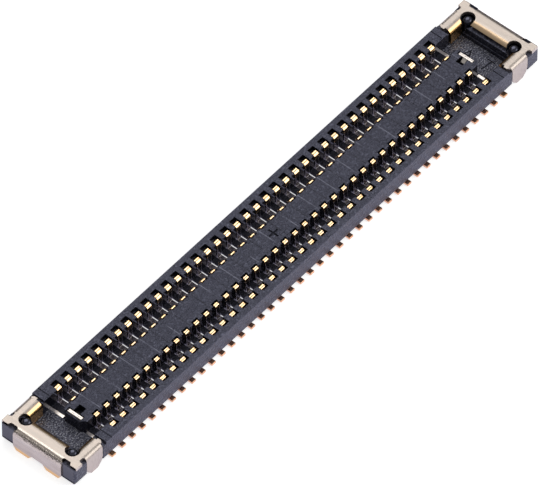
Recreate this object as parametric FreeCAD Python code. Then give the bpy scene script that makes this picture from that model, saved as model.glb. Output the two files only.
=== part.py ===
import FreeCAD, Part
import math
import os

# Socket half of a fine pitch board connector, two rows of contacts.
# Millimetres. X runs along the rows, Y across them and Z up from the board.
# The origin is on the board, under the middle of the part.

V = FreeCAD.Vector

# Rows of contacts
contacts_per_row = 39
contact_pitch = 0.35

# Moulded housing, across the rows
island_width = 0.69
groove_width = 0.405
wall_thickness = 0.365

# Moulded housing, heights
standoff = 0.10
floor_thickness = 0.07
housing_height = 0.525
island_drop = 0.065

# Moulded housing, along the rows
pocket_length = 0.655
end_wall_thickness = 0.57
wall_block_length = 0.187

# Slots that hold the contacts
slot_width = 0.20
slot_depth = 0.21
riser_seat_depth = 0.17
riser_seat_height = 0.33
island_slot_depth = 0.07
floor_slot_gap = 0.015

# Softened edges of the moulding
wall_lead_in = 0.025
wall_lead_in_height = 0.03
wall_edge = 0.01
wall_foot_edge = 0.04
island_edge = 0.035
post_radius = 0.06

# Contacts, formed from flat strip
strip_thickness = 0.06
strip_width = 0.13
head_width = 0.15
head_height = 0.20
tail_reach = 0.065
contact_recess = 0.04
leg_proud = 0.015
bottom_height = 0.06
arm_gap = 0.03
arm_lean = 0.03
arm_height = 0.34
tip_length = 0.055
arch_flat = 0.045
fold_radius = 0.045
tight_fold_radius = 0.036
barb_height = 0.09
barb_above_floor = 0.08

# End caps, folded from sheet
cap_sheet = 0.09
cap_proud = 0.02
cap_end_gap = 0.05
cap_end_proud = 0.04
cap_end_fold_radius = 0.145
cap_end_roll_radius = 0.175
cap_end_roll_turn = 50
cap_leg_roll_radius = 0.145
cap_corner_setback = 0.04
cap_corner_length = 0.21
cap_corner_depth = 0.185
cap_corner_slope = 0.04
cap_end_face_width = 1.44
cap_bend_relief_radius = 0.045
cap_end_relief = 0.035
cap_leg_edge = 0.07
cap_side_relief = 0.105
cap_side_relief_chamfer = 0.035
cap_leg_chamfer = 0.05
cap_flange_proud = 0.04
cap_flange_lift = 0.04
cap_flange_margin = 0.05
cap_end_lip = 0.005
cap_strip_setback = 0.24
end_lip_room = 0.04
foot_width = 0.36
foot_slope = 0.11
foot_arch_height = 0.13
foot_inner_gap = 0.54
tab_setback = 0.083
tab_to_post = 0.01
tab_fold_radius = 0.085
tab_tip_slope = 0.165
tab_taper_height = 0.26
tab_to_wall = 0.02
notch_radius = 0.18
notch_inset_x = 0.165
notch_inset_y = 0.055
post_length = 0.40
post_rim_height = 0.04
boss_radius = 0.13
boss_drop = 0.03
boss_round = 0.10
well_depth = 0.16

# Plates at the two ends of the island
plate_thickness = 0.09
plate_outset = 0.025
plate_half_width = 0.215
plate_drop = 0.02
plate_shoulder = 0.16
plate_edge_break = 0.012
plate_skin = 0.03
plate_recess = 0.06
plate_recess_margin = 0.02
stub_length = 0.10
stub_width = 0.12
stub_thickness = 0.06
stub_drop = 0.01
stub_slope = 0.07
island_end_chamfer = 0.09
notch_length = 0.23
notch_width = 0.20
notch_depth = 0.20

# Ledge at the foot of each end wall, and the engraved marks
ledge_depth = 0.03
ledge_height = 0.115
mark_depth = 0.03
mark_line = 0.03
cross_size = 0.30
cross_line = 0.05
triangle_length = 0.22
triangle_width = 0.19
triangle_gap = 0.215
triangle_aside = 0.24
index_gap = 0.11
index_length = 0.335
index_aside = 0.30
index_slope = 0.045
index_bar_length = 0.23
wall_line = 0.02

# Heights that follow
floor_top = standoff + floor_thickness
wall_top = standoff + housing_height
island_top = wall_top - island_drop
cap_top = wall_top + cap_proud
seat_top = cap_top - cap_sheet

# Positions across the rows that follow
island_side = island_width / 2
wall_inner = island_side + groove_width
wall_outer = wall_inner + wall_thickness

# Positions along the rows that follow
plate_place = (contacts_per_row + 1) / 2 * contact_pitch
plate_end = plate_place + plate_outset
island_end = plate_end + plate_skin
pocket_end = island_end + pocket_length
post_end = pocket_end + end_wall_thickness
end_face = post_end + cap_end_proud - cap_sheet
post_start = post_end - post_length
cap_start = plate_place + wall_block_length + cap_end_gap
tab_start = cap_start + tab_setback
tab_end = post_start - tab_to_post
notch_x = pocket_end + notch_inset_x
notch_y = wall_inner - notch_inset_y
strip_inner = pocket_end + cap_strip_setback

# A cutter reaches this far past what it cuts
spare = 0.1

CONTACTS = range(contacts_per_row)
TURN_X = V(1, 0, 0)
TURN_Y = V(0, 1, 0)
CENTRE = V(0, 0, 0)


def block(x_from, x_to, y_from, y_to, z_from, z_to):
    """Rectangular solid between six planes."""
    size = (x_to - x_from, y_to - y_from, z_to - z_from)
    return Part.makeBox(size[0], size[1], size[2], V(x_from, y_from, z_from))


def prism(points, travel):
    """Solid made by moving a polygon of points along a straight travel."""
    outline = Part.makePolygon(points + [points[0]])
    return Part.Face(outline).extrude(travel)


def both_rows(shape):
    """A shape for the back row and its mirror for the front row."""
    return [shape, shape.mirror(CENTRE, TURN_Y)]


def both_ends(shape):
    """A shape for the right end and its mirror for the left end."""
    return [shape, shape.mirror(CENTRE, TURN_X)]


def four_corners(shape):
    """A shape for the right back corner and its three mirrors."""
    return [copy for side in both_rows(shape) for copy in both_ends(side)]


def joined(shapes):
    """One solid from shapes that meet."""
    return shapes[0].fuse(shapes[1:]).removeSplitter()


def unit(start, end):
    """Direction from one point of a flat path to the next."""
    length = math.hypot(end[0] - start[0], end[1] - start[1])
    return ((end[0] - start[0]) / length, (end[1] - start[1]) / length)


def path_side(path, radii, offset, place):
    """Points of one face of a bent strip: lines, with an arc at each bend."""
    steps = []
    way = unit(path[0], path[1])
    first = (path[0][0] - way[1] * offset, path[0][1] + way[0] * offset)
    for before, corner, after, radius in zip(path, path[1:], path[2:], radii):
        way_in = unit(before, corner)
        way_out = unit(corner, after)
        cross = way_in[0] * way_out[1] - way_in[1] * way_out[0]
        along = way_in[0] * way_out[0] + way_in[1] * way_out[1]
        turn = math.atan2(cross, along)
        left = math.copysign(1, turn)
        reach = radius * math.tan(abs(turn) / 2)
        start = (corner[0] - way_in[0] * reach, corner[1] - way_in[1] * reach)
        centre = (start[0] - way_in[1] * radius * left, start[1] + way_in[0] * radius * left)
        end = (corner[0] + way_out[0] * reach, corner[1] + way_out[1] * reach)
        scale = (radius - left * offset) / radius
        outward = unit(centre, corner)
        arc = []
        for point in (start, end):
            away = (point[0] - centre[0], point[1] - centre[1])
            arc.append((centre[0] + away[0] * scale, centre[1] + away[1] * scale))
        middle = (centre[0] + outward[0] * radius * scale, centre[1] + outward[1] * radius * scale)
        steps.append([place(arc[0]), place(middle), place(arc[1])])
    way = unit(path[-2], path[-1])
    last = (path[-1][0] - way[1] * offset, path[-1][1] + way[0] * offset)
    return place(first), steps, place(last)


def bent_strip(path, radii, thickness, place, travel):
    """Solid of a strip whose middle line follows a flat path, moved along a travel."""
    first, steps, last = path_side(path, radii, thickness / 2, place)
    edges = []
    here = first
    for start, middle, end in steps:
        edges.append(Part.makeLine(here, start))
        edges.append(Part.Arc(start, middle, end).toShape())
        here = end
    edges.append(Part.makeLine(here, last))
    other_first, other_steps, other_last = path_side(path, radii, -thickness / 2, place)
    edges.append(Part.makeLine(last, other_last))
    here = other_last
    for start, middle, end in reversed(other_steps):
        edges.append(Part.makeLine(here, end))
        edges.append(Part.Arc(end, middle, start).toShape())
        here = start
    edges.append(Part.makeLine(here, other_first))
    edges.append(Part.makeLine(other_first, first))
    return Part.Face(Part.Wire(edges)).extrude(travel)


def contact_place(number):
    """Distance of a contact's middle from the part's middle."""
    return (number - (contacts_per_row - 1) / 2) * contact_pitch


def contact_solid():
    """Back row contact at X zero: tail, riser, arch, leg, floor run, arm and tip."""
    half = strip_thickness / 2
    riser = wall_inner + riser_seat_depth - half
    leg = wall_inner - leg_proud + half
    arch = wall_top - contact_recess - half
    bottom = bottom_height + half
    arm = island_side + arm_gap + half
    tip = floor_top + arm_height
    slope = (riser - leg - arch_flat) / 2
    path = [
        (wall_outer + tail_reach, half),
        (riser, half),
        (riser, arch - slope),
        (riser - slope, arch),
        (riser - slope - arch_flat, arch),
        (leg, arch - slope),
        (leg, bottom),
        (arm, bottom),
        (arm - arm_lean, tip),
        (arm - arm_lean - tip_length, tip),
    ]
    radii = [fold_radius] + [tight_fold_radius] * 4 + [fold_radius] * 2 + [tight_fold_radius]
    head = head_width / 2
    solid = bent_strip(path, radii, strip_thickness, lambda p: V(-head, p[0], p[1]), V(head_width, 0, 0))
    side = strip_width / 2
    wide = head + spare
    head_bottom = arch + half - head_height
    low_side = block(side, wide, 0, wall_outer + tail_reach + spare, -spare, head_bottom)
    arm_side = block(side, wide, 0, leg - strip_thickness, -spare, wall_top)
    solid = solid.cut(both_ends(low_side) + both_ends(arm_side))
    barb_bottom = floor_top + barb_above_floor
    barb = block(
        -slot_width / 2, slot_width / 2, riser - half, riser + half, barb_bottom, barb_bottom + barb_height
    )
    return solid.fuse(barb).removeSplitter()


def contact_pair(number):
    """The back and the front contact at one place along the rows."""
    solid = contact_solid()
    solid.translate(V(contact_place(number), 0, 0))
    return Part.makeCompound(both_rows(solid))


def slot_cutter():
    """Space for one back row contact at X zero, open above and below."""
    half = slot_width / 2
    low = floor_top + riser_seat_height
    seat = block(
        -half, half, island_side + floor_slot_gap, wall_inner + riser_seat_depth, standoff - spare, low
    )
    relief = block(-half, half, wall_inner - spare, wall_inner + slot_depth, low, wall_top + spare)
    island_slot = island_side - island_slot_depth
    island = block(-half, half, island_slot, island_side + spare, floor_top, wall_top + spare)
    return joined([seat, relief, island])


def groove_cutters():
    """The two grooves, the two end pockets and the drop of the island's top."""
    cutters = both_rows(
        block(-island_end - spare, island_end + spare, island_side, wall_inner, floor_top, wall_top + spare)
    )
    cutters += both_ends(
        block(island_end, pocket_end, -wall_inner, wall_inner, floor_top, wall_top + spare)
    )
    cutters.append(
        block(-island_end, island_end, -island_side, island_side, island_top, wall_top + spare)
    )
    return cutters


def edge_cutters():
    """Lead-in along the ribs, and the broken edges of the walls and the island."""
    cutters = []
    start = -post_end - spare
    travel = V(2 * post_end + 2 * spare, 0, 0)
    lead_in = [
        V(start, wall_inner - spare, wall_top - wall_lead_in_height),
        V(start, wall_inner, wall_top - wall_lead_in_height),
        V(start, wall_inner + wall_lead_in, wall_top),
        V(start, wall_inner + wall_lead_in, wall_top + spare),
        V(start, wall_inner - spare, wall_top + spare),
    ]
    outer = [
        V(start, wall_outer + spare, wall_top - wall_edge),
        V(start, wall_outer, wall_top - wall_edge),
        V(start, wall_outer - wall_edge, wall_top),
        V(start, wall_outer - wall_edge, wall_top + spare),
        V(start, wall_outer + spare, wall_top + spare),
    ]
    foot = [
        V(start, wall_outer, standoff + wall_foot_edge),
        V(start, wall_outer - wall_foot_edge, standoff),
        V(start, wall_outer - wall_foot_edge, standoff - spare),
        V(start, wall_outer + spare, standoff - spare),
        V(start, wall_outer + spare, standoff + wall_foot_edge),
    ]
    inner = [
        V(start, island_side, island_top - island_edge),
        V(start, island_side - island_edge, island_top),
        V(start, island_side - island_edge, island_top + spare),
        V(start, island_side, island_top + spare),
    ]
    for outline in (lead_in, outer, foot, inner):
        cutters += both_rows(prism(outline, travel))
    end_corner = [
        V(island_end - island_end_chamfer, island_side, standoff),
        V(island_end, island_side - island_end_chamfer, standoff),
        V(island_end, island_side, standoff),
    ]
    end_corner = prism(end_corner, V(0, 0, wall_top))
    end_corner.translate(V(0, 0, floor_thickness))
    return cutters + four_corners(end_corner)


def end_lip_path():
    """Middle line of the lip that the strip on the end wall turns down to the pocket."""
    turn = math.radians(cap_end_roll_turn)
    middle = cap_top - cap_sheet / 2
    reach = cap_end_roll_radius * math.tan(turn / 2)
    corner = strip_inner - reach
    length = reach + cap_end_lip
    end = (corner - length * math.cos(turn), middle - length * math.sin(turn))
    return [(strip_inner + spare, middle), (corner, middle), end]


def cap_seat_cutters():
    """Where the folded sheet of each end cap lies on, beside and inside the walls."""
    top = wall_top + spare
    seat_start = plate_place + wall_block_length
    rim_start = post_end - cap_corner_setback + floor_slot_gap
    cutters = both_ends(block(seat_start, rim_start, -wall_outer - spare, wall_outer + spare, seat_top, top))
    cutters += both_ends(
        block(rim_start, post_end + spare, -wall_outer, wall_outer, seat_top + post_rim_height, top)
    )
    face_half = cap_end_face_width / 2
    cutters += both_ends(block(end_face, post_end + spare, -face_half, face_half, standoff - spare, top))
    tab_seat = block(
        tab_start - tab_to_wall, post_start, wall_outer - cap_sheet, wall_outer + spare,
        standoff - spare, top
    )
    flange_outer = wall_inner - cap_flange_proud + cap_sheet
    flange_seat = block(cap_start, notch_x, wall_inner - spare, flange_outer, floor_top, top)
    cutters += four_corners(tab_seat) + four_corners(flange_seat)
    well = Part.makeCylinder(notch_radius, well_depth + spare, V(notch_x, notch_y, seat_top - well_depth))
    return cutters + four_corners(well) + fold_clearances()


def fold_clearances():
    """Broken edges that the inner radius of each fold of a cap lies over."""
    leg_roll = cap_leg_roll_radius - cap_sheet / 2
    leg_face = wall_inner - cap_flange_proud + cap_sheet
    leg = [
        V(cap_start, wall_inner - spare, seat_top - leg_roll),
        V(cap_start, leg_face, seat_top - leg_roll),
        V(cap_start, leg_face + leg_roll, seat_top),
        V(cap_start, wall_inner - spare, seat_top),
    ]
    leg = prism(leg, V(notch_x - cap_start, 0, 0))
    lip_x, lip_z = end_lip_path()[-1]
    turn = math.radians(cap_end_roll_turn)
    lip_x += cap_sheet / 2 * math.sin(turn)
    lip_z -= cap_sheet / 2 * math.cos(turn) + floor_slot_gap
    inner = [
        V(strip_inner, -notch_y, seat_top),
        V(lip_x, -notch_y, lip_z),
        V(pocket_end - spare, -notch_y, lip_z - end_lip_room),
        V(pocket_end - spare, -notch_y, seat_top),
    ]
    inner = prism(inner, V(0, 2 * notch_y, 0))
    face_half = cap_end_face_width / 2
    fold = cap_end_fold_radius - cap_sheet / 2
    outer = [
        V(end_face - fold, -face_half, seat_top),
        V(end_face, -face_half, seat_top - fold),
        V(end_face + spare, -face_half, seat_top - fold),
        V(end_face + spare, -face_half, seat_top),
    ]
    outer = prism(outer, V(0, 2 * face_half, 0))
    side_face = wall_outer - cap_sheet
    side_fold = tab_fold_radius - cap_sheet / 2
    side = [
        V(tab_start, side_face - side_fold, seat_top),
        V(tab_start, side_face, seat_top - side_fold),
        V(tab_start, wall_outer, seat_top - side_fold),
        V(tab_start, wall_outer, seat_top),
    ]
    side = prism(side, V(tab_end - tab_start, 0, 0))
    return four_corners(leg) + both_ends(inner) + both_ends(outer) + four_corners(side)


def plate_seat_cutters():
    """Slit and recess of each island plate, and the hollow behind the plate's stub."""
    start = plate_end - plate_thickness
    top = wall_top + spare
    upright = block(start, plate_end, -plate_half_width, plate_half_width, floor_top, top)
    recess_half = plate_half_width + plate_recess_margin
    recess = block(
        start - plate_recess_margin, island_end + spare, -recess_half, recess_half,
        island_top - plate_recess, top
    )
    strap = block(
        start, plate_end, -wall_inner - riser_seat_depth, wall_inner + riser_seat_depth, standoff - spare,
        plate_shoulder
    )
    channel = block(start, plate_end, island_side, wall_inner, plate_shoulder - spare, floor_top)
    hollow = block(
        start - notch_length, start, -notch_width / 2, notch_width / 2, island_top - notch_depth, top
    )
    foot = block(start, plate_end, -plate_half_width, plate_half_width, standoff - spare, floor_top)
    cutters = [copy for cutter in (upright, recess, strap, hollow, foot) for copy in both_ends(cutter)]
    return cutters + four_corners(channel)


def mark_cutters():
    """Engraved cross, triangle and index line, and the fine lines across the wall ends."""
    cross = cross_line / 2
    reach = cross_size / 2
    cutters = [
        block(-reach, reach, -cross, cross, island_top - mark_depth, island_top),
        block(-cross, cross, -reach, reach, island_top - mark_depth, island_top),
    ]
    half = mark_line / 2
    base = island_end + triangle_gap
    level = floor_top - mark_depth
    outer = [
        V(base, triangle_aside - triangle_width / 2, level),
        V(base + triangle_length, triangle_aside, level),
        V(base, triangle_aside + triangle_width / 2, level),
    ]
    inset = 1 - 3 * mark_line / triangle_width
    middle = V(base + triangle_length / 3, triangle_aside, level)
    inner = [middle + (corner - middle) * inset for corner in outer]
    travel = V(0, 0, mark_depth)
    cutters.append(prism(outer, travel).cut(prism(inner, travel)))
    start = island_end + index_gap
    end = start + index_length
    aside = -index_aside - index_slope
    index = [
        V(start, -index_aside - half, level),
        V(end, aside - half, level),
        V(end, aside + half, level),
        V(start, -index_aside + half, level),
    ]
    bar = [
        V(end - half, aside + half - index_bar_length / 2, level),
        V(end + half, aside + half - index_bar_length / 2, level),
        V(end + half, aside + half + index_bar_length / 2, level),
        V(end - half, aside + half + index_bar_length / 2, level),
    ]
    cutters += [prism(index, travel), prism(bar, travel)]
    line = block(
        plate_place - wall_line / 2, plate_place + wall_line / 2, wall_inner - spare, wall_outer + spare,
        wall_top - wall_line / 2, wall_top + spare
    )
    return cutters + four_corners(line)


def corner_boss():
    """Round boss that shows in the notch of an end cap, with a rounded top."""
    bottom = standoff
    height = cap_top - boss_drop - bottom
    boss = Part.makeCylinder(boss_radius, height, V(notch_x, notch_y, bottom))
    rim = [edge for edge in boss.Edges if abs(edge.CenterOfMass.z - bottom - height) < boss_round / 10]
    rim = [edge for edge in rim if len(edge.Vertexes) == 1]
    return boss.makeFillet(min(boss_round, boss_radius * 4 / 5), rim)


def housing():
    """One moulding: floor, two long walls, two end walls, island and corner bosses."""
    body = block(-post_end, post_end, -wall_outer, wall_outer, standoff, wall_top)
    upright = [edge for edge in body.Edges if abs(edge.tangentAt(edge.FirstParameter).z) > 0.9]
    body = body.makeFillet(min(post_radius, wall_thickness / 2), upright)
    body = body.cut(groove_cutters() + edge_cutters())
    body = body.cut(cap_seat_cutters())
    body = body.cut(plate_seat_cutters())
    slot = slot_cutter()
    slots = []
    for number in CONTACTS:
        placed = slot.copy()
        placed.translate(V(contact_place(number), 0, 0))
        slots += both_rows(placed)
    body = body.cut(slots)
    ledge_start = pocket_end - ledge_depth
    ledge_top = floor_top + ledge_height
    ledge = block(ledge_start, pocket_end + ledge_depth, -notch_y, notch_y, standoff, ledge_top)
    body = body.fuse(both_ends(ledge) + four_corners(corner_boss()))
    return body.cut(mark_cutters())


def cap_plate():
    """Flat top of the right end cap: a strip on the end wall and a leg on each side wall."""
    strip_outer = end_face + cap_sheet / 2 - cap_end_fold_radius
    corner_outer = post_end - cap_corner_setback
    corner_inner = corner_outer - cap_corner_length
    leg_edge = wall_outer - cap_leg_edge
    tab_edge = wall_outer - cap_sheet / 2 - tab_fold_radius
    relief = wall_outer - cap_side_relief
    leg_inner = wall_inner - cap_flange_proud + cap_sheet / 2 + cap_leg_roll_radius
    corner_side = wall_outer - cap_corner_depth
    face_half = cap_end_face_width / 2
    half = [
        (strip_outer, 0),
        (strip_outer, face_half),
        (strip_outer + cap_end_relief, face_half),
        (strip_outer + cap_end_relief, corner_side - cap_corner_slope),
        (corner_outer, corner_side),
        (corner_outer, wall_outer),
        (corner_inner, wall_outer),
        (corner_inner, relief + cap_side_relief_chamfer),
        (corner_inner - cap_side_relief_chamfer, relief),
        (tab_end + cap_side_relief_chamfer, relief),
        (tab_end, relief + cap_side_relief_chamfer),
        (tab_end, tab_edge),
        (tab_start, tab_edge),
        (tab_start, leg_edge),
        (cap_start + cap_leg_chamfer, leg_edge),
        (cap_start, leg_edge - cap_leg_chamfer),
        (cap_start, leg_inner),
        (notch_x, leg_inner),
        (notch_x, notch_y),
        (strip_inner, notch_y),
        (strip_inner, 0),
    ]
    points = [V(x, y, seat_top) for x, y in half]
    plate = prism(points, V(0, 0, cap_sheet))
    return both_rows(plate)


def cap_end_fold():
    """Outer face of the cap, folded down over the end wall, with its two solder feet."""
    middle = cap_top - cap_sheet / 2
    face_middle = end_face + cap_sheet / 2
    flat_end = face_middle - cap_end_fold_radius
    path = [(flat_end - spare, middle), (face_middle, middle), (face_middle, 0)]
    face_half = cap_end_face_width / 2
    fold = bent_strip(
        path, [cap_end_fold_radius], cap_sheet, lambda p: V(p[0], -face_half, p[1]), V(0, 2 * face_half, 0)
    )
    fold = fold.cut(block(flat_end - 2 * spare, flat_end, -face_half, face_half, 0, cap_top + spare))
    start = end_face - spare
    inner = foot_inner_gap / 2
    outer = inner + foot_width
    arch = [
        V(start, -inner, -spare),
        V(start, -inner, 0),
        V(start, -inner + foot_slope, foot_arch_height),
        V(start, inner - foot_slope, foot_arch_height),
        V(start, inner, 0),
        V(start, inner, -spare),
    ]
    side = [
        V(start, outer, -spare),
        V(start, outer, 0),
        V(start, face_half, foot_arch_height),
        V(start, face_half + spare, foot_arch_height),
        V(start, face_half + spare, -spare),
    ]
    travel = V(cap_sheet + 2 * spare, 0, 0)
    return fold.cut([prism(arch, travel)] + both_rows(prism(side, travel)))


def cap_side_tab():
    """Tongue folded down over the long wall at the back, with a narrowed end."""
    middle = cap_top - cap_sheet / 2
    tab_middle = wall_outer - cap_sheet / 2
    tab_width = tab_end - tab_start
    flat_end = tab_middle - tab_fold_radius
    path = [(flat_end - spare, middle), (tab_middle, middle), (tab_middle, 0)]
    tab = bent_strip(
        path, [tab_fold_radius], cap_sheet, lambda p: V(tab_start, p[0], p[1]), V(tab_width, 0, 0)
    )
    tab = tab.cut(block(tab_start, tab_end, flat_end - 2 * spare, flat_end, 0, cap_top + spare))
    shoulder = tab_tip_slope * 3 / 4
    y_from = wall_outer - cap_sheet - spare
    near = [
        V(tab_start - spare, y_from, tab_taper_height),
        V(tab_start, y_from, tab_taper_height),
        V(tab_start + tab_tip_slope - shoulder, y_from, tab_taper_height / 2),
        V(tab_start + tab_tip_slope, y_from, 0),
        V(tab_start + tab_tip_slope, y_from, -spare),
        V(tab_start - spare, y_from, -spare),
    ]
    travel = V(0, cap_sheet + 2 * spare, 0)
    near = prism(near, travel)
    far = near.mirror(V(tab_start + tab_width / 2, 0, 0), TURN_X)
    return tab.cut([near, far])


def cap_leg_flange():
    """Inner edge of a leg, rolled down into the end pocket as a spring face."""
    middle = cap_top - cap_sheet / 2
    face = wall_inner - cap_flange_proud + cap_sheet / 2
    flat_end = face + cap_leg_roll_radius
    path = [(flat_end + spare, middle), (face, middle), (face, floor_top + cap_flange_lift)]
    start = cap_start + cap_flange_margin
    flange = bent_strip(
        path, [cap_leg_roll_radius], cap_sheet, lambda p: V(start, p[0], p[1]), V(notch_x - start, 0, 0)
    )
    return flange.cut(block(start, notch_x, flat_end, flat_end + 2 * spare, 0, cap_top + spare))


def cap_end_lip_roll():
    """Inner edge of the strip on the end wall, turned down as a lead-in lip."""
    lip = bent_strip(
        end_lip_path(), [cap_end_roll_radius], cap_sheet, lambda p: V(p[0], -notch_y, p[1]),
        V(0, 2 * notch_y, 0)
    )
    return lip.cut(block(strip_inner, strip_inner + 2 * spare, -notch_y, notch_y, 0, cap_top + spare))


def end_cap():
    """Right end cap, one folded sheet with round notches over the corner bosses."""
    pieces = cap_plate() + [cap_end_fold(), cap_end_lip_roll()]
    pieces += both_rows(cap_side_tab()) + both_rows(cap_leg_flange())
    cap = joined(pieces)
    notch = Part.makeCylinder(notch_radius, cap_top + spare, V(notch_x, notch_y, 0))
    strip_outer = end_face + cap_sheet / 2 - cap_end_fold_radius
    relief_x = strip_outer + cap_end_relief + cap_bend_relief_radius
    relief = Part.makeCylinder(
        cap_bend_relief_radius, cap_top, V(relief_x, cap_end_face_width / 2, seat_top - cap_end_fold_radius)
    )
    return cap.cut(both_rows(notch) + both_rows(relief)).removeSplitter()


def island_plate():
    """Plate in the right end of the island, with a strap to a solder tail on each side."""
    start = plate_end - plate_thickness
    top = island_top - plate_drop
    strap_end = wall_inner + riser_seat_depth
    tail_end = wall_outer + tail_reach
    corner = plate_edge_break
    half = [
        (0, top),
        (plate_half_width - corner, top),
        (plate_half_width, top - corner),
        (plate_half_width, plate_shoulder),
        (strap_end, plate_shoulder),
        (strap_end, strip_thickness),
        (tail_end, strip_thickness),
        (tail_end, 0),
        (strap_end - strip_thickness, 0),
        (strap_end - 2 * strip_thickness, bottom_height),
        (0, bottom_height),
    ]
    points = [V(start, y, z) for y, z in half]
    plate = prism(points, V(plate_thickness, 0, 0))
    edge = [
        V(plate_end - corner, -wall_outer, top),
        V(plate_end, -wall_outer, top - corner),
        V(plate_end + spare, -wall_outer, top - corner),
        V(plate_end + spare, -wall_outer, top + spare),
        V(plate_end - corner, -wall_outer, top + spare),
    ]
    plate = joined(both_rows(plate)).cut(prism(edge, V(0, 2 * wall_outer, 0)))
    tail_half = strip_width / 2
    tail = block(
        plate_place - tail_half, plate_place + tail_half, wall_outer - strip_thickness, tail_end, 0,
        strip_thickness
    )
    stub_top = top - stub_drop
    stub = [
        V(start, -stub_width / 2, stub_top),
        V(start - stub_length, -stub_width / 2, stub_top - stub_slope),
        V(start - stub_length, -stub_width / 2, stub_top - stub_slope - stub_thickness),
        V(start, -stub_width / 2, stub_top - stub_thickness),
    ]
    stub = prism(stub, V(0, stub_width, 0))
    return plate.fuse(both_rows(tail) + [stub]).removeSplitter()


def save(shape, name):
    """Write one sub-part under its node's name."""
    solids = shape.Solids
    if not solids or not all(solid.isValid() for solid in solids):
        raise RuntimeError(name + " is not sound")
    shape.exportStep("parts/" + name + ".step")


os.makedirs("parts", exist_ok=True)
save(housing(), "housing")
right_cap, left_cap = both_ends(end_cap())
save(right_cap, "end_cap_right")
save(left_cap, "end_cap_left")
right_plate, left_plate = both_ends(island_plate())
save(right_plate, "island_plate_right")
save(left_plate, "island_plate_left")
for number in CONTACTS:
    save(contact_pair(number), "contact_pair_{:02d}".format(number + 1))
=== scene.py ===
import math

import bpy
from mathutils import Matrix, Vector

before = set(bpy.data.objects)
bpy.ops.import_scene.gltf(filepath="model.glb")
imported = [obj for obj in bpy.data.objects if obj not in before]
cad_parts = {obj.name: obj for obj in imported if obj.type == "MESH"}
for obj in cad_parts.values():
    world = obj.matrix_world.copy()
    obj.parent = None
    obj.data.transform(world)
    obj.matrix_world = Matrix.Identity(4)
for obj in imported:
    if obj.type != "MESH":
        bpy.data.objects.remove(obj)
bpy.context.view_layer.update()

MM = 0.001


# Housing. One injection moulding in liquid crystal polymer, a glass filled resin coloured
# dark blue-grey. It comes off the tool satin, with insert and cutter lines on the island,
# coarser spark eroded pocket floors and glossy faces in its slots. Shade is painted black
# into its slots and engraved marks, and highlights are painted on its insert lines and grit.
contact_pitch = 0.35
# Where its faces lie, in mm out from the middle, along and across, and up from the board.
pocket_from = 7.03
pocket_floor_under = 0.175
engraved_floor_under = 0.16
wall_line_at = 7.0
wall_line_half_width = 0.012
wall_top_over = 0.61
cross_floor_at = 0.53
cross_floor_spread = 0.004
cross_reach = 0.16
island_top_over = 0.555
island_half_width = 0.33
inner_half_width = 1.05
slot_floor_under = 0.5
boss_at = (7.875, 0.695, 0)
boss_reach = 0.14
edge_radius = 0.012 * MM
# The largest upward part that an upright face's normal may have.
upright_under = 0.4
# Edges of the inserts' pale line, a painted highlight, and their dark step, a painted shade, in mm along
# from the line's middle.
line_edge, line_full = 0.018, 0.006
step_edge, step_full = 0.326, 0.340
# How much of their colour the mottle, the painted highlight of the line and the painted shade of the step
# give.
mottle_share = 0.55
insert_highlight_share = 0.6
step_shade_share = 0.9
# Roughness of each kind of face.
satin_least, satin_most = 0.32, 0.42
slot_floor_roughness = 0.60
ground_roughness = 0.14
engraved_roughness = 0.80
polished_roughness = 0.10
# The relief of the satin and gritty faces, with the share of each pattern in it.
relief_depth = 0.010 * MM
relief_strength = 0.9
grit_height = 2.5
cutter_height = 1.2
cutter_waves_per_mm = (0.8, 36.0, 1.0)


def linear(hex_colour):
    """Linear RGBA of an sRGB hex colour."""
    shades = [int(hex_colour[i:i + 2], 16) / 255 for i in (1, 3, 5)]
    return [s / 12.92 if s <= 0.04045 else ((s + 0.055) / 1.055) ** 2.4 for s in shades] + [1.0]


def add(tree, kind, inputs=(), **settings):
    """Adds a node with its settings, and returns its outputs.

    An input takes a value or an output of another node. It goes by its number where its name
    is not its own: 1 to 4 of a Map Range are From Min, From Max, To Min and To Max, and 0, 6
    and 7 of a colour Mix are the factor and the two colours (2 and 3 for two numbers).
    """
    made = tree.nodes.new(kind)
    for name, value in settings.items():
        setattr(made, name, value)
    for name, value in dict(inputs).items():
        if isinstance(value, bpy.types.NodeSocket):
            tree.links.new(value, made.inputs[name])
        else:
            made.inputs[name].default_value = value
    return made.outputs


def new_material(name):
    """Makes a material. Returns it, its tree, its shader's inputs, the place in mm, and the
    distances along, across and up, which are alike in all four quarters of the part."""
    material = bpy.data.materials.new(name)
    material.use_nodes = True
    tree = material.node_tree
    place = add(tree, "ShaderNodeTexCoord")["Object"]
    in_mm = add(tree, "ShaderNodeVectorMath", {0: place, 1: [1 / MM] * 3}, operation="MULTIPLY")[0]
    mirrored = add(tree, "ShaderNodeVectorMath", {0: in_mm}, operation="ABSOLUTE")[0]
    distances = add(tree, "ShaderNodeSeparateXYZ", {0: mirrored})[:3]
    return material, tree, tree.nodes["Principled BSDF"].inputs, in_mm, distances


def dress(node_name, material):
    """Gives a CAD node its material."""
    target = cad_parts[node_name]
    target.data.materials.clear()
    target.data.materials.append(material)


resin, tree, shader, in_mm, (along, across, height) = new_material("moulded_liquid_crystal_polymer")
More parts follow.
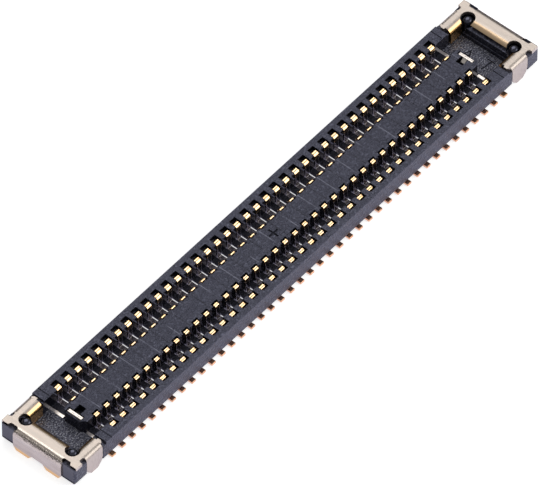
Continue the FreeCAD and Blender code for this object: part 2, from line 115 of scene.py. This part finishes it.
# Glass fibres and flow give soft clouds about 0.4 mm across, with a mottle of 0.06 mm.
cloud = add(tree, "ShaderNodeTexNoise", {"Vector": in_mm, "Scale": 2.5, "Detail": 4.0})[0]
cloud = add(tree, "ShaderNodeMapRange", {0: cloud, 1: 0.3, 2: 0.7})[0]
tone = add(
    tree, "ShaderNodeMix", {0: cloud, 6: linear("#101118"), 7: linear("#1c1d26")}, data_type="RGBA"
)[2]
mottle = add(tree, "ShaderNodeTexNoise", {"Vector": in_mm, "Scale": 17.0, "Detail": 3.0})[0]
mottle = add(tree, "ShaderNodeMapRange", {0: mottle, 1: 0.42, 2: 0.66})[0]
pale = add(tree, "ShaderNodeMath", {0: mottle, 1: mottle_share}, operation="MULTIPLY")[0]
tone = add(tree, "ShaderNodeMix", {0: pale, 6: tone, 7: linear("#676979")}, data_type="RGBA")[2]
# The pocket floors carry spark eroded grit of 0.03 mm, whose glints are painted in pale points.
low = add(tree, "ShaderNodeMath", {0: height, 1: pocket_floor_under}, operation="LESS_THAN")[0]
beyond = add(tree, "ShaderNodeMath", {0: along, 1: pocket_from}, operation="GREATER_THAN")[0]
in_pocket = add(tree, "ShaderNodeMath", {0: low, 1: beyond}, operation="MULTIPLY")[0]
grit = add(tree, "ShaderNodeTexNoise", {"Vector": in_mm, "Scale": 30.0, "Detail": 2.0})[0]
painted_glint = add(tree, "ShaderNodeMapRange", {0: grit, 1: 0.50, 2: 0.66, 4: 1.0})[0]
painted_glint = add(tree, "ShaderNodeMath", {0: painted_glint, 1: in_pocket}, operation="MULTIPLY")[0]
tone = add(tree, "ShaderNodeMix", {0: painted_glint, 6: tone, 7: linear("#b4b5bf")}, data_type="RGBA")[2]
# The floors of the marks engraved in the pocket floors, the wall ends and the island are
# painted black as the shade in these recesses, and are dull.
sunk = add(tree, "ShaderNodeMath", {0: height, 1: engraved_floor_under}, operation="LESS_THAN")[0]
sunk = add(tree, "ShaderNodeMath", {0: sunk, 1: beyond}, operation="MULTIPLY")[0]
at_end = add(
    tree, "ShaderNodeMath", {0: along, 1: wall_line_at, 2: wall_line_half_width}, operation="COMPARE"
)[0]
on_wall = add(tree, "ShaderNodeMath", {0: height, 1: wall_top_over}, operation="GREATER_THAN")[0]
scored = add(tree, "ShaderNodeMath", {0: at_end, 1: on_wall}, operation="MULTIPLY")[0]
engraved_shade = add(tree, "ShaderNodeMath", {0: sunk, 1: scored}, operation="MAXIMUM")[0]
in_cross = add(
    tree, "ShaderNodeMath", {0: height, 1: cross_floor_at, 2: cross_floor_spread}, operation="COMPARE"
)[0]
central = add(tree, "ShaderNodeMath", {0: along, 1: cross_reach}, operation="LESS_THAN")[0]
in_cross = add(tree, "ShaderNodeMath", {0: in_cross, 1: central}, operation="MULTIPLY")[0]
engraved_shade = add(tree, "ShaderNodeMath", {0: engraved_shade, 1: in_cross}, operation="MAXIMUM")[0]
tone = add(tree, "ShaderNodeMix", {0: engraved_shade, 6: tone, 7: linear("#0b0b0e")}, data_type="RGBA")[2]
# The mould's inserts meet in uneven lines across the island, a pitch apart: a pale line
# 0.02 mm wide, painted as the highlight on the seam, in patches of about 0.6 mm, takes turns
# with a dark band of 0.03 mm painted as the shade of the inserts' step.
raised = add(tree, "ShaderNodeMath", {0: height, 1: island_top_over}, operation="GREATER_THAN")[0]
inboard = add(tree, "ShaderNodeMath", {0: across, 1: island_half_width}, operation="LESS_THAN")[0]
on_island = add(tree, "ShaderNodeMath", {0: raised, 1: inboard}, operation="MULTIPLY")[0]
lengthwise = add(tree, "ShaderNodeSeparateXYZ", {0: in_mm})["X"]
shifted = add(tree, "ShaderNodeMath", {0: lengthwise, 1: contact_pitch / 2}, operation="ADD")[0]
insert = add(tree, "ShaderNodeMath", {0: shifted, 1: contact_pitch}, operation="PINGPONG")[0]
patchy = add(tree, "ShaderNodeTexNoise", {"Vector": in_mm, "Scale": 1.6})[0]
patchy = add(tree, "ShaderNodeMapRange", {0: patchy, 1: 0.42, 2: 0.58, 4: insert_highlight_share})[0]
insert_highlight = add(tree, "ShaderNodeMapRange", {0: insert, 1: line_edge, 2: line_full})[0]
insert_highlight = add(tree, "ShaderNodeMath", {0: insert_highlight, 1: patchy}, operation="MULTIPLY")[0]
insert_highlight = add(tree, "ShaderNodeMath", {0: insert_highlight, 1: on_island}, operation="MULTIPLY")[0]
tone = add(tree, "ShaderNodeMix", {0: insert_highlight, 6: tone, 7: linear("#9a9bab")}, data_type="RGBA")[2]
step_shade = add(tree, "ShaderNodeMapRange", {0: insert, 1: step_edge, 2: step_full, 4: step_shade_share})[0]
step_shade = add(tree, "ShaderNodeMath", {0: step_shade, 1: on_island}, operation="MULTIPLY")[0]
tone = add(tree, "ShaderNodeMix", {0: step_shade, 6: tone, 7: linear("#08080b")}, data_type="RGBA")[2]
# The slots, the pockets and the ends are formed by ground steel, which leaves their upright
# faces glossy. These faces and the slot floors are painted near black as the shade deep in
# the grooves, and the slot floors are dull.
facing = add(tree, "ShaderNodeNewGeometry")["Normal"]
facing = add(tree, "ShaderNodeVectorMath", {0: facing}, operation="ABSOLUTE")[0]
upward = add(tree, "ShaderNodeSeparateXYZ", {0: facing})["Z"]
upright = add(tree, "ShaderNodeMath", {0: upward, 1: upright_under}, operation="LESS_THAN")[0]
within = add(tree, "ShaderNodeMath", {0: across, 1: inner_half_width}, operation="LESS_THAN")[0]
ground = add(tree, "ShaderNodeMath", {0: upright, 1: within}, operation="MULTIPLY")[0]
between_ends = add(tree, "ShaderNodeMath", {0: along, 1: pocket_from}, operation="LESS_THAN")[0]
deep = add(tree, "ShaderNodeMath", {0: height, 1: slot_floor_under}, operation="LESS_THAN")[0]
deep = add(tree, "ShaderNodeMath", {0: deep, 1: between_ends}, operation="MULTIPLY")[0]
deep = add(tree, "ShaderNodeMath", {0: deep, 1: within}, operation="MULTIPLY")[0]
painted_slot_shade = add(tree, "ShaderNodeMath", {0: deep, 1: ground}, operation="MAXIMUM")[0]
tone = add(tree, "ShaderNodeMix", {0: painted_slot_shade, 6: tone, 7: linear("#0a0a0d")}, data_type="RGBA")[2]
# The round corner bosses are polished in the tool, so they look black with sharp glints.
flat_place = add(tree, "ShaderNodeCombineXYZ", {0: along, 1: across})[0]
aside = add(tree, "ShaderNodeVectorMath", {0: flat_place, 1: boss_at}, operation="DISTANCE")[1]
polished = add(tree, "ShaderNodeMath", {0: aside, 1: boss_reach}, operation="LESS_THAN")[0]
tone = add(tree, "ShaderNodeMix", {0: polished, 6: tone, 7: linear("#1b1c22")}, data_type="RGBA")[2]
tree.links.new(tone, shader["Base Color"])
shader["IOR"].default_value = 1.8
shader["Specular Tint"].default_value = linear("#dcddfb")
# The satin varies over about 0.1 mm, and each other kind of face has its own gloss.
satin = add(tree, "ShaderNodeTexNoise", {"Vector": in_mm, "Scale": 9.0})[0]
satin = add(tree, "ShaderNodeMapRange", {0: satin, 1: 0.3, 2: 0.7, 3: satin_least, 4: satin_most})[0]
satin = add(tree, "ShaderNodeMix", {0: deep, 2: satin, 3: slot_floor_roughness})[0]
satin = add(tree, "ShaderNodeMix", {0: ground, 2: satin, 3: ground_roughness})[0]
satin = add(tree, "ShaderNodeMix", {0: engraved_shade, 2: satin, 3: engraved_roughness})[0]
gloss = add(tree, "ShaderNodeMix", {0: polished, 2: satin, 3: polished_roughness})[0]
tree.links.new(gloss, shader["Roughness"])
# The relief is the cutter's lines along the island, 0.03 mm wide, the mottle and the grit.
drawn = add(tree, "ShaderNodeVectorMath", {0: in_mm, 1: cutter_waves_per_mm}, operation="MULTIPLY")[0]
cutter = add(tree, "ShaderNodeTexNoise", {"Vector": drawn, "Scale": 1.0})[0]
cutter = add(tree, "ShaderNodeMath", {0: cutter, 1: on_island}, operation="MULTIPLY")[0]
pits = add(tree, "ShaderNodeMath", {0: grit, 1: in_pocket}, operation="MULTIPLY")[0]
relief = add(tree, "ShaderNodeMath", {0: pits, 1: grit_height, 2: mottle}, operation="MULTIPLY_ADD")[0]
relief = add(tree, "ShaderNodeMath", {0: cutter, 1: cutter_height, 2: relief}, operation="MULTIPLY_ADD")[0]
smooth = add(tree, "ShaderNodeMath", {0: polished, 1: ground}, operation="MAXIMUM")[0]
strength = add(
    tree, "ShaderNodeMath", {0: relief_strength, 1: smooth}, operation="SUBTRACT", use_clamp=True
)[0]
edge = add(tree, "ShaderNodeBevel", {"Radius": edge_radius}, samples=4)[0]
grain = add(
    tree, "ShaderNodeBump",
    {"Strength": strength, "Distance": relief_depth, "Height": relief, "Normal": edge}
)[0]
tree.links.new(grain, shader["Normal"])
dress("housing", resin)

# Island end plates. Copper alloy blanked from strip and pressed into the slits at the
# island's ends. The blanked top edge is bright, with the dark line of the shear along its
# middle, and the tails outside the walls are gold.
plate_middle = 6.98
plate_top_over = 0.5
plate_tail_from, plate_tail_full = 0.95, 0.98
shear_edge, shear_full = 0.015, 0.007
shear_share = 0.75
plate_scuff_depth = 0.003 * MM
ends = ("right", "left")

plate_plating, tree, shader, in_mm, (along, across, height) = new_material("bright_plated_blanked_strip")
# A slight tarnish in spots of 0.08 mm keeps the plating from looking like a mirror.
tarnish = add(tree, "ShaderNodeTexNoise", {"Vector": in_mm, "Scale": 12.0, "Detail": 3.0})[0]
tarnish = add(tree, "ShaderNodeMapRange", {0: tarnish, 1: 0.35, 2: 0.65})[0]
tone = add(
    tree, "ShaderNodeMix", {0: tarnish, 6: linear("#cfc7c0"), 7: linear("#e4dcd4")}, data_type="RGBA"
)[2]
# The shear line is 0.02 mm wide and broken every 0.04 mm or so.
off_middle = add(tree, "ShaderNodeMath", {0: along, 1: plate_middle}, operation="SUBTRACT")[0]
off_middle = add(tree, "ShaderNodeMath", {0: off_middle}, operation="ABSOLUTE")[0]
shear = add(
    tree, "ShaderNodeMapRange", {0: off_middle, 1: shear_edge, 2: shear_full, 4: shear_share}
)[0]
broken = add(tree, "ShaderNodeTexNoise", {"Vector": in_mm, "Scale": 26.0})[0]
broken = add(tree, "ShaderNodeMapRange", {0: broken, 1: 0.42, 2: 0.54})[0]
on_top = add(tree, "ShaderNodeMath", {0: height, 1: plate_top_over}, operation="GREATER_THAN")[0]
broken = add(tree, "ShaderNodeMath", {0: broken, 1: on_top}, operation="MULTIPLY")[0]
shear = add(tree, "ShaderNodeMath", {0: shear, 1: broken}, operation="MULTIPLY")[0]
tone = add(tree, "ShaderNodeMix", {0: shear, 6: tone, 7: linear("#3d3734")}, data_type="RGBA")[2]
outside = add(tree, "ShaderNodeMapRange", {0: across, 1: plate_tail_from, 2: plate_tail_full})[0]
tone = add(tree, "ShaderNodeMix", {0: outside, 6: tone, 7: linear("#f8c490")}, data_type="RGBA")[2]
tree.links.new(tone, shader["Base Color"])
shader["Metallic"].default_value = 1.0
shader["Roughness"].default_value = 0.30
edge = add(tree, "ShaderNodeBevel", {"Radius": edge_radius}, samples=4)[0]
scuff = add(
    tree, "ShaderNodeBump",
    {"Strength": 0.3, "Distance": plate_scuff_depth, "Height": tarnish, "Normal": edge}
)[0]
tree.links.new(scuff, shader["Normal"])
for end in ends:
    dress("island_plate_" + end, plate_plating)

# Contacts. Copper alloy strip, blanked, formed and plated: bright gold on the arches, tips
# and tails, with a bare nickel barrier between them that keeps solder from rising. The gold
# mirrors the lamps sharply; the nickel is duller, with a highlight painted pale on its rolled edges.
contacts_per_row = 39
gold_from, gold_full = 0.43, 0.48
gold_wander = 0.05
tail_from, tail_full = 0.97, 0.99
rosy_share = 0.6
gold_edge_radius = 0.016 * MM
nickel_edge_radius = 0.030 * MM
# Cosines of the turn at which a rounded edge starts to be rim, and is all rim.
rim_from, rim_full = 0.99, 0.93
contact_scuff_depth = 0.002 * MM
gold_roughness, nickel_roughness, rim_roughness = 0.14, 0.24, 0.45

contact_plating, tree, shader, in_mm, (_, across, height) = new_material("selective_gold_over_nickel")
# The gold ends in a soft line that wanders by a few hundredths of a millimetre.
wander = add(tree, "ShaderNodeTexNoise", {"Vector": in_mm, "Scale": 14.0})[0]
wander = add(tree, "ShaderNodeMath", {0: wander, 1: gold_wander, 2: height}, operation="MULTIPLY_ADD")[0]
upper = add(
    tree, "ShaderNodeMapRange", {0: wander, 1: gold_from, 2: gold_full}, interpolation_type="SMOOTHSTEP"
)[0]
outside = add(tree, "ShaderNodeMapRange", {0: across, 1: tail_from, 2: tail_full})[0]
gilt = add(tree, "ShaderNodeMath", {0: upper, 1: outside}, operation="MAXIMUM")[0]
wash = add(tree, "ShaderNodeTexNoise", {"Vector": in_mm, "Scale": 20.0})[0]
wash = add(tree, "ShaderNodeMapRange", {0: wash, 1: 0.35, 2: 0.65})[0]
gold = add(
    tree, "ShaderNodeMix", {0: wash, 6: linear("#fbd096"), 7: linear("#ffe0b6")}, data_type="RGBA"
)[2]
nickel = add(
    tree, "ShaderNodeMix", {0: wash, 6: linear("#615c5f"), 7: linear("#807a7e")}, data_type="RGBA"
)[2]
# A rim is where the rounded edge turns away from the flat of its face; on the nickel a
# highlight is painted pale there, and the rim is rougher.
gold_edge = add(tree, "ShaderNodeBevel", {"Radius": gold_edge_radius}, samples=6)[0]
nickel_edge = add(tree, "ShaderNodeBevel", {"Radius": nickel_edge_radius}, samples=6)[0]
facing = add(tree, "ShaderNodeNewGeometry")["Normal"]
bend = add(tree, "ShaderNodeVectorMath", {0: nickel_edge, 1: facing}, operation="DOT_PRODUCT")[1]
rim_and_highlight = add(tree, "ShaderNodeMapRange", {0: bend, 1: rim_from, 2: rim_full})[0]
edge = add(tree, "ShaderNodeMix", {0: gilt, 4: nickel_edge, 5: gold_edge}, data_type="VECTOR")[1]
# The nickel's rims are painted pale, as a highlight.
nickel = add(tree, "ShaderNodeMix", {0: rim_and_highlight, 6: nickel, 7: linear("#efe8ec")}, data_type="RGBA")[2]
# The tails carry a thinner flash of gold, rosier than the arches and tips.
rosy = add(tree, "ShaderNodeMath", {0: outside, 1: rosy_share}, operation="MULTIPLY")[0]
gold = add(tree, "ShaderNodeMix", {0: rosy, 6: gold, 7: linear("#f6b18c")}, data_type="RGBA")[2]
tone = add(tree, "ShaderNodeMix", {0: gilt, 6: nickel, 7: gold}, data_type="RGBA")[2]
tree.links.new(tone, shader["Base Color"])
shader["Metallic"].default_value = 1.0
polish = add(tree, "ShaderNodeMapRange", {0: rim_and_highlight, 3: nickel_roughness, 4: rim_roughness})[0]
polish = add(tree, "ShaderNodeMix", {0: gilt, 2: polish, 3: gold_roughness})[0]
tree.links.new(polish, shader["Roughness"])
scuff = add(
    tree, "ShaderNodeBump",
    {"Strength": 0.2, "Distance": contact_scuff_depth, "Height": wash, "Normal": edge}
)[0]
tree.links.new(scuff, shader["Normal"])
for number in range(1, contacts_per_row + 1):
    dress("contact_pair_{:02d}".format(number), contact_plating)

# End caps. Copper alloy sheet, blanked, folded over the ends of the moulding and plated
# pale. Rolled faces are satin with faint streaks and the stretched end fold is orange
# peel. The feet, the spring faces rolled into the pocket and the lip are warm gold.
spring_from, spring_full = 0.84, 0.78
spring_end, spring_end_full = 7.76, 7.70
foot_beyond = 8.2
foot_from, foot_full = 0.13, 0.07
lip_half_length = 0.70
lip_from, lip_full = 7.92, 7.88
lip_share = 0.5
end_bend_from, end_bend_full = 8.13, 8.15
top_face, below_top = 0.6445, 0.6425
fold_from, fold_full = 8.22, 8.26
peel_top, peel_top_full = 0.63, 0.60
peel_foot, peel_foot_full = 0.40, 0.48
dull_least, dull_most = 0.36, 0.46
worked_roughness = 0.22
streak_stretch = (9.0, 0.9, 4.0)
streak_height = 0.05
peel_depth = 0.022 * MM

cap_plating, tree, shader, in_mm, (along, across, height) = new_material("satin_plated_folded_sheet")
# The sheet was rolled along the part's width, so its streaks are 0.6 mm long that way, and
# 0.06 mm wide.
drawn = add(tree, "ShaderNodeVectorMath", {0: in_mm, 1: streak_stretch}, operation="MULTIPLY")[0]
streak = add(tree, "ShaderNodeTexNoise", {"Vector": drawn, "Scale": 2.0, "Detail": 4.0})[0]
streak = add(tree, "ShaderNodeMapRange", {0: streak, 1: 0.3, 2: 0.7})[0]
tone = add(
    tree, "ShaderNodeMix", {0: streak, 6: linear("#c3b6ab"), 7: linear("#d3c8be")}, data_type="RGBA"
)[2]
inner = add(tree, "ShaderNodeMapRange", {0: across, 1: spring_from, 2: spring_full})[0]
short = add(tree, "ShaderNodeMapRange", {0: along, 1: spring_end, 2: spring_end_full})[0]
spring = add(tree, "ShaderNodeMath", {0: inner, 1: short}, operation="MULTIPLY")[0]
end_face = add(tree, "ShaderNodeMath", {0: along, 1: foot_beyond}, operation="GREATER_THAN")[0]
feet = add(tree, "ShaderNodeMapRange", {0: height, 1: foot_from, 2: foot_full})[0]
feet = add(tree, "ShaderNodeMath", {0: feet, 1: end_face}, operation="MULTIPLY")[0]
between = add(tree, "ShaderNodeMath", {0: across, 1: lip_half_length}, operation="LESS_THAN")[0]
lip = add(tree, "ShaderNodeMapRange", {0: along, 1: lip_from, 2: lip_full, 4: lip_share})[0]
lip = add(tree, "ShaderNodeMath", {0: lip, 1: between}, operation="MULTIPLY")[0]
warm = add(tree, "ShaderNodeMath", {0: spring, 1: feet}, operation="MAXIMUM")[0]
warm = add(tree, "ShaderNodeMath", {0: warm, 1: lip}, operation="MAXIMUM")[0]
tone = add(tree, "ShaderNodeMix", {0: warm, 6: tone, 7: linear("#f8cb8c")}, data_type="RGBA")[2]
tree.links.new(tone, shader["Base Color"])
shader["Metallic"].default_value = 1.0
# The bent end and the gold parts are glossier than the flat sheet.
dull = add(tree, "ShaderNodeMapRange", {0: streak, 3: dull_least, 4: dull_most})[0]
bent = add(tree, "ShaderNodeMapRange", {0: along, 1: end_bend_from, 2: end_bend_full})[0]
lowered = add(tree, "ShaderNodeMapRange", {0: height, 1: top_face, 2: below_top})[0]
bent = add(tree, "ShaderNodeMath", {0: bent, 1: lowered}, operation="MULTIPLY")[0]
bent = add(tree, "ShaderNodeMath", {0: bent, 1: warm}, operation="MAXIMUM")[0]
dull = add(tree, "ShaderNodeMix", {0: bent, 2: dull, 3: worked_roughness})[0]
tree.links.new(dull, shader["Roughness"])
# The orange peel on the end fold, below its crest, has lumps of 0.05 mm.
past_fold = add(tree, "ShaderNodeMapRange", {0: along, 1: fold_from, 2: fold_full})[0]
under_top = add(tree, "ShaderNodeMapRange", {0: height, 1: peel_top, 2: peel_top_full})[0]
over_face = add(tree, "ShaderNodeMapRange", {0: height, 1: peel_foot, 2: peel_foot_full})[0]
on_fold = add(tree, "ShaderNodeMath", {0: past_fold, 1: under_top}, operation="MULTIPLY")[0]
on_fold = add(tree, "ShaderNodeMath", {0: on_fold, 1: over_face}, operation="MULTIPLY")[0]
peel = add(tree, "ShaderNodeTexNoise", {"Vector": in_mm, "Scale": 20.0, "Detail": 3.0})[0]
peel = add(tree, "ShaderNodeMath", {0: peel, 1: on_fold}, operation="MULTIPLY")[0]
surface = add(tree, "ShaderNodeMath", {0: streak, 1: streak_height, 2: peel}, operation="MULTIPLY_ADD")[0]
edge = add(tree, "ShaderNodeBevel", {"Radius": edge_radius}, samples=4)[0]
worked = add(
    tree, "ShaderNodeBump",
    {"Strength": 0.8, "Distance": peel_depth, "Height": surface, "Normal": edge}
)[0]
tree.links.new(worked, shader["Normal"])
for end in ends:
    dress("end_cap_" + end, cap_plating)

# Studio. A white sheet under the part, an overhead softbox, a broad front softbox with a
# dark gap between them, a narrow one that draws a white line along the end fold, and a
# room that darkens towards the horizon and the back.
floor_reach = 0.5
floor_level = -0.004 * MM
floor_glow = 0.72
room_low, room_high = 0.05, 0.5
room_from, room_full = 0.1, 0.65
back_from, back_full = 0.40, 0.75
back_share = 0.2
lamp_distance = 0.30
# Name, direction from the part, side in metres, and brightness seen from the part.
softboxes = (
    ("overhead_softbox", (0.38, 0.46, 0.80), 0.15, 2.0),
    ("front_softbox", (0.49, -0.68, 0.55), 0.22, 2.1),
    ("end_softbox", (-0.03, 0.42, 0.91), 0.07, 2.4),
)

floor_mesh = bpy.data.meshes.new("studio_floor")
corners = ((-1, -1), (1, -1), (1, 1), (-1, 1))
floor_mesh.from_pydata(
    [(x * floor_reach, y * floor_reach, floor_level) for x, y in corners], [], [(0, 1, 2, 3)]
)
floor = bpy.data.objects.new("studio_floor", floor_mesh)
bpy.context.scene.collection.objects.link(floor)
paper = bpy.data.materials.new("white_paper")
paper.use_nodes = True
tree = paper.node_tree
tree.nodes.clear()
ray = add(tree, "ShaderNodeLightPath")
shown = add(
    tree, "ShaderNodeMath", {0: ray["Is Camera Ray"], 1: ray["Is Glossy Ray"]}, operation="MAXIMUM"
)[0]
shown = add(tree, "ShaderNodeMath", {0: shown, 1: ray["Is Transmission Ray"]}, operation="MAXIMUM")[0]
# White to the eye, a little lavender where the part's faces mirror it.
cast = add(
    tree, "ShaderNodeMix", {0: ray["Is Camera Ray"], 6: linear("#dcdaf2"), 7: linear("#ffffff")},
    data_type="RGBA",
)[2]
strength = add(tree, "ShaderNodeMath", {0: shown, 1: floor_glow}, operation="MULTIPLY")[0]
glow = add(tree, "ShaderNodeEmission", {"Color": cast, "Strength": strength})[0]
matt = add(tree, "ShaderNodeBsdfDiffuse", {"Color": linear("#e6e6e6")})[0]
both = add(tree, "ShaderNodeAddShader", {0: glow, 1: matt})[0]
add(tree, "ShaderNodeOutputMaterial", {"Surface": both})
floor_mesh.materials.append(paper)

world = bpy.data.worlds.new("studio_air")
bpy.context.scene.world = world
world.use_nodes = True
tree = world.node_tree
tree.nodes.clear()
sky = add(tree, "ShaderNodeTexCoord")["Generated"]
rise = add(tree, "ShaderNodeSeparateXYZ", {0: sky})["Z"]
room = add(
    tree, "ShaderNodeMapRange", {0: rise, 1: room_from, 2: room_full, 3: room_low, 4: room_high},
    interpolation_type="SMOOTHSTEP",
)[0]
depth = add(tree, "ShaderNodeSeparateXYZ", {0: sky})["Y"]
dim = add(tree, "ShaderNodeMapRange", {0: depth, 1: back_from, 2: back_full, 3: 1.0, 4: back_share})[0]
room = add(tree, "ShaderNodeMath", {0: room, 1: dim}, operation="MULTIPLY")[0]
ray = add(tree, "ShaderNodeLightPath")
shown = add(
    tree, "ShaderNodeMath", {0: ray["Is Camera Ray"], 1: ray["Is Transmission Ray"]}, operation="MAXIMUM"
)[0]
strength = add(tree, "ShaderNodeMix", {0: shown, 2: room, 3: 1.0})[0]
air = add(tree, "ShaderNodeBackground", {"Strength": strength})[0]
add(tree, "ShaderNodeOutputWorld", {"Surface": air})

for name, towards, side, brightness in softboxes:
    lamp = bpy.data.lights.new(name, "AREA")
    lamp.size = side
    lamp.energy = brightness * math.pi * side ** 2
    box = bpy.data.objects.new(name, lamp)
    box.location = Vector(towards).normalized() * lamp_distance
    box.rotation_euler = Vector(towards).to_track_quat("Z", "Y").to_euler()
    bpy.context.scene.collection.objects.link(box)

# A long lens from far off, fitted to the rows of contact tips.
lens = bpy.data.cameras.new("photo_camera")
lens.sensor_width = 36
lens.lens = 799.8
lens.clip_start = 0.01
lens.clip_end = 5
camera = bpy.data.objects.new("photo_camera", lens)
place = Vector((-134.843, -113.583, 212.807)) * MM
right = Vector((0.64456, -0.76455, 0))
back = Vector((-0.48806, -0.41146, 0.76974))
turn = Matrix((right, back.cross(right), back)).transposed()
camera.matrix_world = Matrix.Translation(place) @ turn.to_4x4()
bpy.context.scene.collection.objects.link(camera)
bpy.context.scene.camera = camera
bpy.context.scene.view_settings.view_transform = "Standard"
